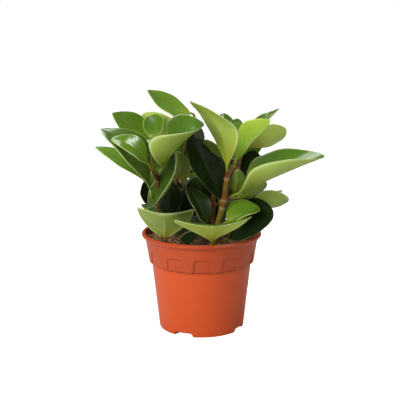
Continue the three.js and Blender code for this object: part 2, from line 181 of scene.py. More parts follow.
# Each light's name, place, width and height, and power; they all face one point in the plant
LIGHTS = (
    ("key", (-780, -850, 760), (780, 780), 13.0),
    ("top", (-150, 420, 1100), (700, 700), 8.0),
    ("low", (-420, -980, 90), (500, 500), 2.2),
    ("fill", (900, -700, 400), (600, 600), 1.2),
    ("strip", (520, -470, 760), (180, 900), 8.0),
)
LIGHTS_AIM = (0, 0, 130)

# The stems, as on the model: a list of branches, each a path with a radius at its start. A row of leaves
# gives the height of its node on the branch; x, y and z of the blade's foot; heading, counted from +X
# towards +Y, rise and roll, in degrees; length and width; cup, the half angle that the blade is rolled
# through; arch, how far its middle stands off the straight line; widest, the share of the length at which
# it is widest; foot and point, how slim it is below and above that; and last its tone, from 0, an old dark
# leaf, to 1, a young bright one, which also carries painted shade and light: low tones darken leaves that
# lie in shade, high tones brighten leaves that light shines through. A crown gives how many more leaves
# the branch bears at the back, the heights of the lowest and highest, the heading of their middle and how
# far they fan out from it.
STEMS = {
    "stem_left": [{
        "path": [(-38, -12, 90), (-42, -12, 118), (-43, -15, 136), (-43, -15, 153)],
        "radius": 2.4,
        "leaves": [
            (97, -35, -36, 98, 271, 42, 3, 52, 62, 55, -2, 0.7, 2.6, 0.5, 0.2),
            (104, -32, -3, 108, 90, 66, 0, 42, 26, 26, 3, 0.55, 1.1, 0.6, 0.05),
            (112, -46, 8, 122, 185, 66, 30, 28, 29, 15, -4, 0.5, 1.0, 0.55, 0.05),
            (118, -53.5, -33, 128, 25, 63, 3, 64, 39, 52, -12, 0.34, 0.9, 0.5, 0.2),
            (130, -51, -2, 144, 179, 36, 13, 67, 34, 10, 5, 0.6, 1.95, 0.82, 0.75),
            (134, -49, -24, 140, 175, 53, 19, 80, 54, 20, 13, 0.6, 1.9, 0.77, 0.35),
            (153, -51, -31, 171.5, 187, 36, 38, 43, 26, 37, 6, 0.47, 0.92, 0.63, 0.65),
            (153, -40, -20, 163, 325, 43, -23, 70, 75, 86, 4, 0.47, 2.0, 0.7, 0.38),
        ],
    }, {
        "path": [(-43, -15, 153), (-47, -8, 166), (-49, -1, 182)],
        "radius": 1.7,
        "leaves": [
            (178, -52.5, 15, 189, 196, 36, 47, 46, 34, 22, 0, 0.4, 0.7, 0.85, 0.65),
            (182, -50, -2, 192, 62, 65, 0, 25, 27, 55, -5, 0.6, 0.9, 0.62, 0.55),
        ],
    }],
    "stem_right": [{
        "path": [(12, -30, 90), (15, -30, 108), (22, -28, 135), (25, -26, 156), (32, -21, 168)],
        "radius": 3.3,
        "leaves": [
            (92, 10, -47, 96, 272, 29, -2, 65, 73, 22, 7, 0.6, 2.2, 0.5, 0.6),
            (100, 24, -38, 116, 10, 22, -15, 35, 40, 55, 0, 0.36, 0.8, 0.5, 0.65),
            (128, 34, -22, 136.5, 15, 21, 45, 34, 27, 33, -3, 0.55, 1.05, 0.5, 0.18),
            (135, 32, -29.5, 141, 351, 25, -6, 94, 64, 86, 1, 0.34, 1.24, 0.5, 0.5),
            (136, 33, -17, 141, 285, 74, 5, 25, 16, 26, -2, 0.58, 1.1, 0.6, 0.08),
            (156, 24.5, -27, 167, 216, 57, 5, 80, 56, 10, 12, 0.53, 1.24, 0.8, 0.55),
            (168, 32.5, -22, 172, 12, 49, 44, 53, 42, 35, 4, 0.56, 1.1, 0.7, 1.0),
        ],
    }],
    "stem_middle": [{
        "path": [(10, 2, 90), (12, 4, 120), (12, 8, 148), (8, 14, 162)],
        "radius": 2.4,
        "leaves": [
            (92, -6, 8, 100, 130, 58, 0, 38, 34, 22, 3, 0.5, 0.9, 0.6, 0.05),
            (104, -3, 2, 114, 250, -34, 0, 40, 28, 22, 4, 0.5, 0.9, 0.6, 0.02),
            (93, 27, -19, 95, 340, 33, -37, 54, 54, 28, 4, 0.58, 1.0, 0.5, 0.0),
            (95, 5, -16, 108, 146, 57, 6, 42, 28, 40, 2, 0.48, 0.9, 0.68, 0.13),
            (98, 13, 10, 104, 80, 68, 0, 50, 30, 28, 3, 0.58, 1.1, 0.6, 0.0),
            (108, 2, 12, 112, 112, 60, 0, 41, 34, 25, 3, 0.55, 1.2, 0.6, 0.1),
            (98, 19, 3, 104, 74, 64, 0, 42, 25, 24, 3, 0.52, 1.0, 0.6, 0.05),
            (125, 18, -8, 131, 148, 60, 17, 69, 41, 28, 2, 0.6, 1.1, 0.55, 0.0),
            (142, 23, 24, 145, 226, 60, -8, 52, 26, 28, 0, 0.55, 1.1, 0.6, 0.1),
        ],
    }],
    "stem_back": [{
        "path": [(30, 20, 90), (34, 20, 120), (36, 16, 150), (40, 16, 176)],
        "radius": 2.4,
        "leaves": [
            (94, 34, 36, 102, 80, 6, -6, 52, 38, 24, 3, 0.58, 1.2, 0.62, 0.3),
            (115, 46, 2, 121, 336, 20, 40, 45, 35, 42, -3, 0.6, 1.1, 0.55, 0.3),
            (132, 37, 2, 137, 45, 60, -10, 46, 34, 16, -5, 0.54, 1.1, 0.6, 0.0),
            (160, 28, 24, 171, 62, 62, 0, 40, 26, 30, -1, 0.5, 1.1, 0.6, 0.35),
            (165, 25, 31, 175, 96, 60, 0, 41, 26, 30, -1, 0.5, 1.1, 0.6, 0.3),
            (170, 49, 15, 181, 354, 28, 45, 40, 34, 25, -2, 0.58, 1.1, 0.58, 0.7),
            (172, 34, 18, 175, 68, 72, 5, 31, 24, 30, 0, 0.5, 1.1, 0.6, 0.7),
            (176, 42, 28, 190, 0, 38, -5, 46, 28, 50, -2, 0.42, 1.1, 0.8, 0.45),
        ],
        "crown": (5, 98, 146, 69, 22),
    }],
    "stem_rear": [{
        "path": [(6, 34, 90), (5, 38, 120), (4, 40, 150), (6, 38, 166)],
        "radius": 2.4,
        "leaves": [
            (94, 3, 50, 106, 93, 10, 4, 56, 40, 24, 3, 0.58, 1.2, 0.62, 0.35),
            (92, 3, 27, 99, 78, 50, 0, 50, 36, 24, 3, 0.5, 0.9, 0.6, 0.05),
        ],
        "crown": (4, 102, 138, 90, 42),
    }],
    "stem_far": [{
        "path": [(-27, 24, 90), (-27, 26, 130), (-20, 22, 165), (-9, 15, 203)],
        "radius": 2.4,
        "leaves": [
            (94, -30, 38, 101, 114, 8, 6, 54, 44, 24, 3, 0.58, 1.2, 0.62, 0.3),
            (92, -22, 30, 99, 96, 46, 0, 50, 38, 24, 3, 0.5, 0.9, 0.6, 0.05),
            (138, -18, 4, 145, 235, 75, -10, 36, 20, 25, 0, 0.5, 1.0, 0.6, 0.12),
            (150, -2, 22, 168, 118, 60, -5, 46, 22, 30, 0, 0.55, 1.1, 0.6, 0.05),
            (165, -37, 31, 176, 212, 67, -15, 43, 53, 25, -2, 0.62, 1.0, 0.5, 0.62),
            (203, -10, 12, 215, 198, 28, 27, 51, 42, 10, -4, 0.43, 0.8, 0.8, 0.76),
        ],
        "crown": (6, 104, 152, 120, 30),
    }],
}

# What all leaves of a crown share
CROWN_PETIOLE = 16
CROWN_LIFT = 9
CROWN_RISE = (14, 48)
CROWN_LENGTH = (64, 54)
CROWN_SLIMNESS = 0.64
CROWN_ROLL = 10
CROWN_ROLL_STEP = 2.4
CROWN_CUP = 30
CROWN_ARCH = 5
CROWN_WIDEST = 0.56
CROWN_FOOT = 1.2
CROWN_POINT = 0.62
CROWN_TONE = 0.25
CROWN_TONE_RANGE = 0.35


def mix(a, b, share):
    return a + (b - a) * share


def smooth(low, high, value):
    share = np.clip((np.asarray(value, float) - low) / (high - low), 0, 1)
    return share * share * (3 - 2 * share)


def unit(vector):
    return vector / np.linalg.norm(vector)


# Meshes

def make_mesh(name, points, faces, material, attributes=None):
    """A smooth-shaded object at the origin, from points in millimetres."""
    mesh = bpy.data.meshes.new(name)
    mesh.from_pydata((np.asarray(points, float) * MM).tolist(), [], faces)
    mesh.validate()
    for label, values in (attributes or {}).items():
        values = np.asarray(values, np.float32)
        kind, field = ("FLOAT_VECTOR", "vector") if values.ndim == 2 else ("FLOAT", "value")
        mesh.attributes.new(label, kind, "POINT").data.foreach_set(field, values.ravel())
    mesh.polygons.foreach_set("use_smooth", [True] * len(mesh.polygons))
    mesh.update()
    piece = bpy.data.objects.new(name, mesh)
    bpy.context.scene.collection.objects.link(piece)
    mesh.materials.append(material)
    return piece


def wall_faces(rings, sides):
    """Faces that join rings of points, one after the other, with open ends."""
    faces = []
    for i in range(rings - 1):
        near = i * sides
        far = near + sides
        for k in range(sides):
            after = (k + 1) % sides
            faces.append((near + k, near + after, far + after, far + k))
    return faces


def ring_faces(rings, sides):
    """The same for rings that run the other way round, with a fan of triangles at each end."""
    faces = [(a, d, c, b) for a, b, c, d in wall_faces(rings, sides)]
    faces.extend((0, k, k + 1) for k in range(1, sides - 1))
    last = (rings - 1) * sides
    faces.extend((last, last + k + 1, last + k) for k in range(1, sides - 1))
    return faces


def joined(parts):
    """One list of points, one of faces and one set of attributes out of several."""
    points, faces, attributes = [], [], {}
    for part_points, part_faces, part_attributes in parts:
        shift = sum(len(p) for p in points)
        points.append(part_points)
        faces.extend(tuple(corner + shift for corner in face) for face in part_faces)
        for label, values in part_attributes.items():
            attributes.setdefault(label, []).append(values)
    merged = {label: np.concatenate(values) for label, values in attributes.items()}
    return np.concatenate(points), faces, merged


# Materials

class Nodes:
    """A short way to write a node tree."""

    def __init__(self, name):
        self.material = bpy.data.materials.new(name)
        self.material.use_nodes = True
        self.tree = self.material.node_tree
        self.shader = self.tree.nodes["Principled BSDF"]

    def add(self, kind, **settings):
        node = self.tree.nodes.new(kind)
        for label, value in settings.items():
            setattr(node, label, value)
        return node

    def link(self, source, target):
        if isinstance(source, (int, float)):
            target.default_value = source
        elif isinstance(source, tuple):
            target.default_value = source if len(source) == len(target.default_value) else (*source, 1.0)
        else:
            self.tree.links.new(source, target)

    def put(self, label, value):
        """Sets or links a socket of the shader itself."""
        self.link(value, self.shader.inputs[label])

    def math(self, operation, *values, clamp=False):
        node = self.add("ShaderNodeMath", operation=operation, use_clamp=clamp)
        for value, socket in zip(values, node.inputs):
            self.link(value, socket)
        return node.outputs[0]

    def times(self, first, second):
        return self.math("MULTIPLY", first, second)

    def mix(self, share, low, high):
        """A colour between two others."""
        node = self.add("ShaderNodeMix", data_type="RGBA")
        self.link(share, node.inputs["Factor"])
        self.link(low, node.inputs[6])
        self.link(high, node.inputs[7])
        return node.outputs[2]

    def blend(self, share, low, high):
        """A number between two others."""
        node = self.add("ShaderNodeMix", data_type="FLOAT")
        self.link(share, node.inputs["Factor"])
        self.link(low, node.inputs[2])
        self.link(high, node.inputs[3])
        return node.outputs[0]

    def step(self, value, low, high):
        """0 below low, 1 above high and a smooth rise between; it falls where low is above high."""
        node = self.add("ShaderNodeMapRange", interpolation_type="SMOOTHSTEP")
        self.link(value, node.inputs["Value"])
        bounds = (low, high, 0.0, 1.0) if low <= high else (high, low, 1.0, 0.0)
        for label, bound in zip(("From Min", "From Max", "To Min", "To Max"), bounds):
            node.inputs[label].default_value = bound
        return node.outputs[0]

    def place(self):
        return self.add("ShaderNodeTexCoord").outputs["Object"]

    def noise(self, scale, detail=3.0, roughness=0.5, stretch=None):
        place = self.place()
        if stretch:
            mapping = self.add("ShaderNodeMapping")
            self.link(place, mapping.inputs["Vector"])
            mapping.inputs["Scale"].default_value = stretch
            place = mapping.outputs[0]
        node = self.add("ShaderNodeTexNoise")
        settings = (("Vector", place), ("Scale", scale), ("Detail", detail), ("Roughness", roughness))
        for label, value in settings:
            self.link(value, node.inputs[label])
        return node.outputs["Fac"]

    def attribute(self, name):
        return self.add("ShaderNodeAttribute", attribute_name=name)

    def bump(self, height, strength, distance):
        node = self.add("ShaderNodeBump")
        for label, value in (("Strength", strength), ("Distance", distance), ("Height", height)):
            self.link(value, node.inputs[label])
        self.put("Normal", node.outputs[0])

    def finish(self, colour, roughness):
        self.put("Base Color", colour)
        self.put("Roughness", roughness)
        return self.material


def leaf_material():
    """Dark and glossy above, pale and dull below, with faint arched veins and a slightly paler margin."""
    n = Nodes("leaf")
    place = n.add("ShaderNodeSeparateXYZ")
    n.link(n.attribute("leaf_place").outputs["Vector"], place.inputs[0])
    along, across, side = place.outputs
    # The tone is partly the leaf's age and partly painted shade and light
    tone = n.attribute("leaf_age_and_shade").outputs["Fac"]
    chance = n.attribute("leaf_chance").outputs["Fac"]
    out = n.math("ABSOLUTE", across)

    cloud = n.noise(22.0, detail=4.0)
    fleck = n.noise(420.0, detail=2.0)
    shade = n.math("ADD", tone, n.times(n.math("SUBTRACT", cloud, 0.5), 0.35))

    # Painted shade and light: the darkest tones stand for leaves in shade, the brightest lower colour for the
    # glow of leaves lit from behind
    upper = n.mix(n.step(shade, 0.0, 0.5), (0.012, 0.024, 0.006), (0.088, 0.186, 0.014))
    upper = n.mix(n.step(shade, 0.5, 1.05), upper, (0.230, 0.430, 0.018))
    lower = n.mix(n.step(shade, 0.0, 0.45), (0.120, 0.180, 0.022), (0.380, 0.510, 0.085))
    lower = n.mix(n.step(shade, 0.45, 1.0), lower, (0.700, 0.860, 0.120))
    near_foot = n.step(along, 0.55, 0.0)
    lower = n.mix(n.times(near_foot, 0.9), lower, (0.270, 0.290, 0.006))

    # Paler and yellower near the foot of the upper face: partly the leaf's own colour, partly painted light
    paler_foot_and_light = n.times(n.step(along, 0.45, 0.0), n.step(tone, 0.2, 0.6))
    upper = n.mix(n.times(paler_foot_and_light, 0.6), upper, (0.260, 0.360, 0.018))

    # Veins run out from the midrib in long arches towards the tip
    arch = n.math("SUBTRACT", along, n.times(n.math("POWER", out, VEIN_POWER), VEIN_BEND))
    arch = n.math("ADD", arch, n.times(chance, VEIN_SHIFT))
    wave = n.math("SINE", n.times(arch, VEIN_STEP))
    vein = n.times(n.step(wave, 0.4, 1.0), n.step(out, 0.95, 0.5))
    vein = n.times(vein, n.step(along, 0.15, 0.45))
    rib = n.times(n.step(out, 0.05, 0.012), n.step(along, 0.95, 0.55))
    veined = n.times(vein, n.blend(n.step(tone, 0.0, 0.4), 0.01, 0.10))
    upper = n.mix(veined, upper, (0.250, 0.420, 0.060))
    ribbed = n.times(rib, n.blend(n.step(tone, 0.0, 0.4), 0.04, 0.30))
    upper = n.mix(ribbed, upper, (0.280, 0.460, 0.060))
    lower = n.mix(n.times(vein, 0.10), lower, (0.200, 0.300, 0.020))
    lower = n.mix(n.times(rib, 0.25), lower, (0.520, 0.640, 0.090))

    blade = n.mix(side, lower, upper)
    rim = n.math("MAXIMUM", n.step(out, 0.86, 1.0), n.step(along, 0.90, 1.0))
    edge = n.blend(side, rim, n.step(out, 0.955, 0.985))
    edge = n.times(edge, n.blend(side, 0.55, 0.34))
    edge = n.times(edge, n.blend(n.step(tone, 0.0, 0.2), 0.1, 1.0))
    blade = n.mix(edge, blade, (0.640, 0.740, 0.330))
    blade = n.mix(n.times(n.step(fleck, 0.60, 0.75), 0.05), blade, (0.350, 0.420, 0.120))

    # The stalk: red-brown at the stem, green where it meets the blade, and all green on the youngest leaves
    fresh = n.math("MAXIMUM", n.step(along, -0.50, -0.08), n.step(tone, 0.70, 0.78))
    stalk = n.mix(fresh, (0.115, 0.032, 0.009), (0.200, 0.260, 0.012))
    colour = n.mix(n.step(along, 0.035, -0.02), blade, stalk)

    young = n.step(tone, 0.0, 0.35)
    gloss = n.blend(side, 0.48, n.blend(young, 0.40, 0.17))
    n.put("Specular IOR Level", n.blend(side, 0.35, n.blend(young, 0.05, 0.5)))
    gloss = n.math("ADD", gloss, n.times(n.math("SUBTRACT", cloud, 0.5), 0.14))
    grain = n.noise(900.0, detail=2.0)
    relief = n.math("ADD", n.times(grain, 0.4), n.times(cloud, 1.2))
    n.bump(relief, 0.3, 0.0004)
    n.put("Subsurface Weight", n.blend(n.step(tone, 0.6, 1.0), 0.08, 0.9))
    n.put("Subsurface Radius", (0.5, 1.0, 0.1))
    n.put("Subsurface Scale", n.blend(n.step(tone, 0.8, 1.0), 0.0012, 0.0040))
    return n.finish(colour, gloss)


def stem_material():
    """Olive green with fine stripes, red-brown above each node, a pale scar at it."""
    n = Nodes("stem")
    red = n.attribute("stem_red").outputs["Fac"]
    scar = n.attribute("stem_scar").outputs["Fac"]
    stripe = n.noise(240.0, detail=3.0, stretch=(1.0, 1.0, 0.12))
    cloud = n.noise(60.0)
    colour = n.mix(stripe, (0.100, 0.095, 0.006), (0.200, 0.160, 0.016))
    stain = n.math("MULTIPLY", red, n.blend(cloud, 0.55, 1.3), clamp=True)
    colour = n.mix(stain, colour, (0.135, 0.034, 0.008))
    colour = n.mix(n.times(scar, 0.7), colour, (0.400, 0.270, 0.120))
    n.bump(stripe, 0.4, 0.0005)
    n.put("Specular IOR Level", 0.2)
    return n.finish(colour, n.blend(cloud, 0.5, 0.7))


def pot_material():
    """Moulded terracotta-coloured plastic: satin, with painted shade on the collar and in its creases, darker
    inside in patches.
    """
    n = Nodes("pot_plastic")
    cloud = n.noise(14.0, detail=4.0)
    grain = n.noise(900.0, detail=2.0)
    scuff = n.noise(160.0, detail=6.0, roughness=0.7)
    colour = n.mix(cloud, (0.620, 0.080, 0.012), (0.680, 0.094, 0.016))
    colour = n.mix(n.times(n.step(scuff, 0.60, 0.75), 0.06), colour, (0.700, 0.240, 0.120))
    place = n.add("ShaderNodeSeparateXYZ")
    n.link(n.place(), place.inputs[0])
    # Painted shade on the collar, darker from these heights up, in soft patches
    collar_shade = n.times(n.step(place.outputs[2], *COLLAR_SHADE_FROM), n.blend(cloud, 0.35, 0.65))
    colour = n.mix(collar_shade, colour, (0.340, 0.050, 0.014))
    # Painted shade in the creases: the windows' edges, under the bead and under the collar's step
    painted_shade = n.attribute("pot_painted_shade").outputs["Fac"]
    colour = n.mix(n.times(painted_shade, 0.4), colour, (0.170, 0.018, 0.006))
    inside = n.attribute("pot_inside").outputs["Fac"]
    # Darker inside the pot, in patches
    inside_darkening = n.math("MULTIPLY", inside, n.blend(n.noise(120.0, detail=5.0), 0.25, 1.0), clamp=True)
    colour = n.mix(inside_darkening, colour, (0.060, 0.018, 0.010))
    n.bump(n.math("ADD", n.times(grain, 0.5), scuff), 0.12, 0.0003)
    n.put("Specular IOR Level", 0.35)
    n.put("Subsurface Weight", 0.05)
    n.put("Subsurface Radius", (1.0, 0.3, 0.15))
    n.put("Subsurface Scale", 0.001)
    return n.finish(colour, n.blend(cloud, 0.36, 0.46))


def soil_material():
    """Peat mix: nearly black where it is damp, brown on the crumbs, with tan specks."""
    n = Nodes("soil")
    coarse = n.noise(180.0, detail=5.0, roughness=0.65)
    fine = n.noise(900.0, detail=4.0)
    crumb = n.attribute("crumb_tone").outputs["Fac"]
    colour = n.mix(n.step(coarse, 0.32, 0.66), (0.034, 0.016, 0.007), (0.270, 0.130, 0.054))
    colour = n.mix(n.times(crumb, 0.8), colour, (0.600, 0.310, 0.125))
    colour = n.mix(n.times(n.step(fine, 0.62, 0.74), 0.45), colour, (0.720, 0.470, 0.230))
    n.bump(n.math("ADD", coarse, n.times(fine, 0.5)), 0.8, 0.0012)
    return n.finish(colour, n.blend(coarse, 0.75, 0.95))


def fibre_material():
    """Dry roots and coir fibres."""
    n = Nodes("fibre")
    tone = n.noise(150.0, detail=3.0)
    colour = n.mix(tone, (0.260, 0.150, 0.065), (0.620, 0.440, 0.230))
    n.bump(n.noise(1500.0), 0.3, 0.0002)
    return n.finish(colour, n.blend(tone, 0.6, 0.8))


def floor_material():
    """White paper: to the eye as white as the backdrop, to the plant a pale floor that lights it a little."""
    n = Nodes("floor_paper")
    tone = n.noise(3.0)
    colour = n.mix(tone, (0.60, 0.60, 0.60), (0.64, 0.64, 0.64))
    seen = n.add("ShaderNodeLightPath").outputs["Is Camera Ray"]
    n.put("Emission Color", (1.0, 1.0, 1.0))
    n.put("Emission Strength", n.times(seen, FLOOR_GLOW))
    n.put("Specular IOR Level", 0.0)
    return n.finish(colour, 1.0)


LEAF = leaf_material()
STEM = stem_material()
PLASTIC = pot_material()
SOIL = soil_material()
FIBRE = fibre_material()


def place_piece(piece, slot, *replaced):
    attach(piece, "root")
    if replaced:
        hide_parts(*replaced)


# Leaves

def branch_point(path, height):
    """The branch's centre at a height."""
    path = np.asarray(path, float)
    for low, high in zip(path[:-1], path[1:]):
        if height <= high[2] or high is path[-1]:
            break
    return low + (high - low) * (height - low[2]) / (high[2] - low[2])


class Leaf:
    """A blade with its own directions: along it, across it to the left, and out of its upper face."""

    def __init__(self, row):
        (self.height, x, y, z, heading, rise, roll, self.length, self.width, cup,
         self.arch, self.widest, self.slim_foot, self.slim_point, self.tone) = row
        heading, rise, turn, self.cup = (math.radians(a) for a in (heading, rise, roll, cup))
        self.foot = np.array((x, y, z), float)
        level = math.cos(rise)
        self.along = np.array((level * math.cos(heading), level * math.sin(heading), math.sin(rise)))
        left = np.array((-math.sin(heading), math.cos(heading), 0.0))
        up = np.cross(self.along, left)
        self.face = up * math.cos(turn) + left * math.sin(turn)
        self.across = left * math.cos(turn) - up * math.sin(turn)

    def half_width(self, u):
        """Half width along the blade, as a share of its widest."""
        rising = np.sin(math.pi / 2 * np.minimum(u / self.widest, 1)) ** self.slim_foot
        past = np.maximum((u - self.widest) / (1 - self.widest), 0)
        falling = np.maximum(np.cos(math.pi / 2 * past), 0) ** self.slim_point
        return np.where(u < self.widest, rising, falling)

    def point(self, u, v, offset, lift=0.0):
        """Points of the blade: u from foot to tip, v from the right margin, -1, to the left one, 1."""
        bend = v * self.cup * self.half_width(u)
        rolled = self.width / 2 / self.cup
        side = (rolled - offset) * np.sin(bend)
        rise = rolled * (1 - np.cos(bend)) + 4 * u * (1 - u) * self.arch + offset * np.cos(bend) + lift
        shape = np.broadcast(u, v).shape
        moves = ((u * self.length, self.along), (side, self.across), (rise, self.face))
        shift = [np.multiply.outer(np.broadcast_to(value, shape), direction) for value, direction in moves]
        return self.foot + shift[0] + shift[1] + shift[2]


# A ring runs over the upper face from right to left, round the left margin and back under the lower face
EDGE_ANGLES = (45, 0, -45)
STRIP = np.linspace(-1, 1, BLADE_STRIPS + 1)
ACROSS = np.sign(STRIP) * np.abs(STRIP) ** 1.25
RING_V = np.concatenate([ACROSS, np.ones(3), ACROSS[::-1], -np.ones(3)])
RING_SIDE = np.concatenate([np.ones(len(ACROSS)), [0.8, 0.5, 0.2], np.zeros(len(ACROSS)), [0.2, 0.5, 0.8]])
RING_EDGE = np.zeros(len(RING_V))
RING_EDGE[len(ACROSS):len(ACROSS) + 3] = 1
RING_EDGE[-3:] = -1
RING_TILT = np.concatenate([
    np.full(len(ACROSS), 90.0), EDGE_ANGLES, np.full(len(ACROSS), -90.0), EDGE_ANGLES[::-1]])
RING_SIDES = len(RING_V)


def round_ring(centre, across, face, radius):
    """The same number of points round a stalk."""
    angle = math.pi * (1 - (2 * np.arange(RING_SIDES) + 1) / RING_SIDES)
    return (centre + np.multiply.outer(radius * np.cos(angle), across)
            + np.multiply.outer(radius * np.sin(angle), face))


def blade_rings(leaf, chance):
    """The blade with its midrib, arched veins, slightly pillowed halves, waved and rounded margin."""
    rings, places = [], []
    tilt = np.radians(RING_TILT)
    out = np.abs(RING_V)
    for i in range(1, BLADE_RINGS + 1):
        u = 1 - (1 - i / BLADE_RINGS) ** 1.5
        span = max(float(leaf.half_width(np.array(u))) * leaf.width / 2, 0.01)
        thin = math.sqrt(max(1 - u ** 14, 0.03))
        half = mix(BLADE_THICKNESS, MARGIN_THICKNESS, out ** 2) / 2 * thin
        offset = half * np.sin(tilt)
        distance = out * span
        rib = np.exp(-(distance / RIB_WIDTH) ** 2) * (1 - u) ** 0.7
        upper = RING_SIDE > 0.9
        lower = RING_SIDE < 0.1
        offset = offset - np.where(upper, RIB_GROOVE * rib * smooth(0.0, 0.15, u), 0)
        offset = offset - np.where(lower, RIB_RIDGE * rib, 0)
        veins = np.sin(VEIN_STEP * (u - VEIN_BEND * out ** VEIN_POWER + VEIN_SHIFT * chance))
        veins = veins * smooth(0.98, 0.6, out) * smooth(0, 0.2, out)
        offset = offset - VEIN_RELIEF * veins * smooth(0.15, 0.45, u) * smooth(1.0, 0.8, u)
        pillow = PILLOW * leaf.width * np.sin(math.pi * out) * math.sin(math.pi * u)
        ripple = LONG_WAVE * leaf.width * out ** 3 * math.sin(9.0 * u + 6.3 * chance) * math.sin(math.pi * u)
        ripple = ripple + SHORT_WAVE * leaf.width * out ** 2 * np.sin(14.0 * u + 9 * chance + np.sign(RING_V))
        ripple = ripple * math.sin(math.pi * u)
        beyond = 1 + RING_EDGE * np.sign(RING_V) * half * np.cos(tilt) / span
        blade = leaf.point(np.full(RING_SIDES, u), RING_V * np.minimum(beyond, 1.2), offset, pillow + ripple)
        stalk = round_ring(leaf.point(np.array(u), np.array(0.0), 0.0), leaf.across, leaf.face,
                           PETIOLE_RADIUS[1])
        share = float(smooth(0.0, 0.07, u))
        rings.append(mix(stalk, blade, share))
        places.append(np.stack([np.full(RING_SIDES, u), RING_V, RING_SIDE], 1))
    return rings, places


def petiole_rings(leaf, path):
    """The stalk's rings, from inside the branch to the blade's foot."""
    start = branch_point(path, leaf.height)
    heading = unit(leaf.along * leaf.length + leaf.face * 4 * leaf.arch)
    bend = leaf.foot - heading * PETIOLE_BEND * np.linalg.norm(leaf.foot - start)
    flare, flare_place, flare_length = PETIOLE_FLARE
    rings, places = [], []
    across = leaf.across
    for i in range(PETIOLE_RINGS, -1, -1):
        t = i / PETIOLE_RINGS
        centre = (1 - t) ** 2 * start + 2 * t * (1 - t) * bend + t ** 2 * leaf.foot
        tangent = unit(2 * (1 - t) * (bend - start) + 2 * t * (leaf.foot - bend))
        across = unit(across - tangent * np.dot(across, tangent))
        face = np.cross(tangent, across)
        gap = t * np.linalg.norm(leaf.foot - start) - flare_place
        radius = mix(*PETIOLE_RADIUS, t) + flare * math.exp(-(gap / flare_length) ** 2)
        rings.insert(0, round_ring(centre, across, face, radius))
        places.insert(0, np.stack([np.full(RING_SIDES, t - 1), RING_V, RING_SIDE], 1))
    return rings, places


def leaf_part(row, path, draw):
    """One leaf, stalk and blade in one skin, with what its material needs at each point."""
    leaf = Leaf(row)
    chance = draw.random()
    stalk, stalk_places = petiole_rings(leaf, path)
    blade, blade_places = blade_rings(leaf, chance)
    rings = stalk + blade
    points = np.concatenate(rings)
    places = np.concatenate(stalk_places + blade_places)
    attributes = {
        "leaf_place": places,
        "leaf_age_and_shade": np.full(len(points), leaf.tone),
        "leaf_chance": np.full(len(points), chance),
    }
    return points, ring_faces(len(rings), RING_SIDES), attributes


def crown_rows(crown, path):
    """Rows for the leaves at the back, in steps of the golden angle from the lowest node to the highest."""
    count, low, high, middle, fan = crown
    rows = []
    for i in range(count):
        share = i / (count - 1)
        turn = (i * GOLDEN) % 1
        height = mix(low, high, share)
        heading = middle + fan * (2 * turn - 1)
        aim = math.radians(heading)
        x, y, z = branch_point(path, height)
        length = mix(*CROWN_LENGTH, share)
        rows.append((
            height, x + CROWN_PETIOLE * math.cos(aim), y + CROWN_PETIOLE * math.sin(aim), z + CROWN_LIFT,
            heading, mix(*CROWN_RISE, share), CROWN_ROLL * math.cos(CROWN_ROLL_STEP * i),
            length, length * CROWN_SLIMNESS, CROWN_CUP, CROWN_ARCH,
            CROWN_WIDEST, CROWN_FOOT, CROWN_POINT, CROWN_TONE + CROWN_TONE_RANGE * turn,
        ))
    return rows


# Stems

def spline(points, steps):
    """A smooth curve through points, with its end directions kept."""
    points = np.asarray(points, float)
    ends = np.concatenate([[2 * points[0] - points[1]], points, [2 * points[-1] - points[-2]]])
    curve = []
    for a, b, c, d in zip(ends[:-3], ends[1:-2], ends[2:-1], ends[3:]):
        for t in np.linspace(0, 1, steps, endpoint=False):
            curve.append(0.5 * (2 * b + (c - a) * t + (2 * a - 5 * b + 4 * c - d) * t ** 2
                                + (3 * b - a - 3 * c + d) * t ** 3))
    curve.append(points[-1])
    return np.array(curve)


def tube(points, radii, sides, side=(1.0, 0.0, 0.0)):
    """A closed round tube along points, with a radius at each."""
    across = np.array(side, float)
    rings = []
    for i, centre in enumerate(points):
        tangent = unit(points[min(i + 1, len(points) - 1)] - points[max(i - 1, 0)])
        across = unit(across - tangent * np.dot(across, tangent))
        face = np.cross(tangent, across)
        angle = -2 * math.pi * np.arange(sides) / sides
        rings.append(centre + np.multiply.outer(radii[i] * np.cos(angle), across)
                     + np.multiply.outer(radii[i] * np.sin(angle), face))
    return np.concatenate(rings), ring_faces(len(points), sides)


def branch_part(branch, rows, rooted):
    """A branch with a slight swelling and a scar at each node, and a rounded top."""
    path = [tuple(p) for p in branch["path"]]
    if rooted:
        x, y, z = path[0]
        path = [(x, y, STEM_FOOT), (x, y, (STEM_FOOT + z) / 2)] + path
    curve = spline(path, 14)
    heights = curve[:, 2]
    share = np.linspace(0, 1, len(curve))
    radii = branch["radius"] * mix(1.0, STEM_TAPER, share)
    nodes = sorted(row[0] for row in rows)
    red = np.zeros(len(curve))
    scar = np.zeros(len(curve))
    for node in nodes:
        gap = heights - node
        radii = radii * (1 + NODE_SWELL * np.exp(-(gap / NODE_HEIGHT) ** 2))
        red = np.maximum(red, np.where(gap > 0, np.exp(-(gap / RED_ABOVE) ** 2), np.exp(gap / RED_BELOW)))
        scar = np.maximum(scar, np.exp(-((gap + SCAR_DROP) / SCAR_HEIGHT) ** 2))
    radii[-2:] *= STEM_TOP_ROUND
    # The foot of a stem stays green, and its top is red-brown all round
    red = np.maximum(red * smooth(0.0, 0.85, share), smooth(0.55, 1.0, share) * 0.8)
    points, faces = tube(curve, radii, STEM_SIDES)
    attributes = {"stem_red": np.repeat(red, STEM_SIDES), "stem_scar": np.repeat(scar, STEM_SIDES)}
    return points, faces, attributes


